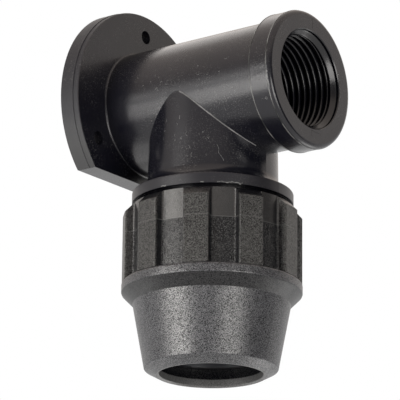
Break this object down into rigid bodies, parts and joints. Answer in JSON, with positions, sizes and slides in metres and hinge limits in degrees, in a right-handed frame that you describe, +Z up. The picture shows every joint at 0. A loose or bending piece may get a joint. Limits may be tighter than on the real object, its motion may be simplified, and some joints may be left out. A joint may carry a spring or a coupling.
{
  "type": "tap elbow",
  "caption": "Wall-plate tap elbow in black plastic: round screw flange, threaded tap socket facing out, and a compression end below with a ribbed nut for plastic pipe.",
  "frame": {"origin": "middle of the flange's wall face, on the barrel's axis", "axes": "+X from the wall to the tap socket, +Z up, so the pipe enters from below along +Z"},
  "size_m": [0.06, 0.0572, 0.1033],
  "materials": {
    "body_plastic": "satin black polypropylene, fine grain",
    "nut_plastic": "spark-eroded black polypropylene",
    "grip_plastic": "smooth black acetal",
    "bush_plastic": "smooth black polypropylene",
    "seal_rubber": "black nitrile rubber"
  },
  "bodies": {
    "elbow": {"body": "body_plastic", "o_ring": "seal_rubber", "thrust_bush": "bush_plastic"},
    "grip": {"grip_ring": "grip_plastic"},
    "nut": {"compression_nut": "nut_plastic"}
  },
  "joints": [
    {"name": "grip_travel", "type": "slide", "parent": "elbow", "child": "grip", "axis": [0, 0, 1], "range_m": [-0.01401, 0]},
    {"name": "nut_turn", "type": "hinge", "parent": "grip", "child": "nut", "pos_m": [0.0289, 0, -0.05], "axis": [0, 0, 1], "range_deg": [-1440, 0]}
  ],
  "couplings": [
    {"joint": "grip_travel", "follows": "nut_turn", "m_per_rad": 0.00055704}
  ]
}
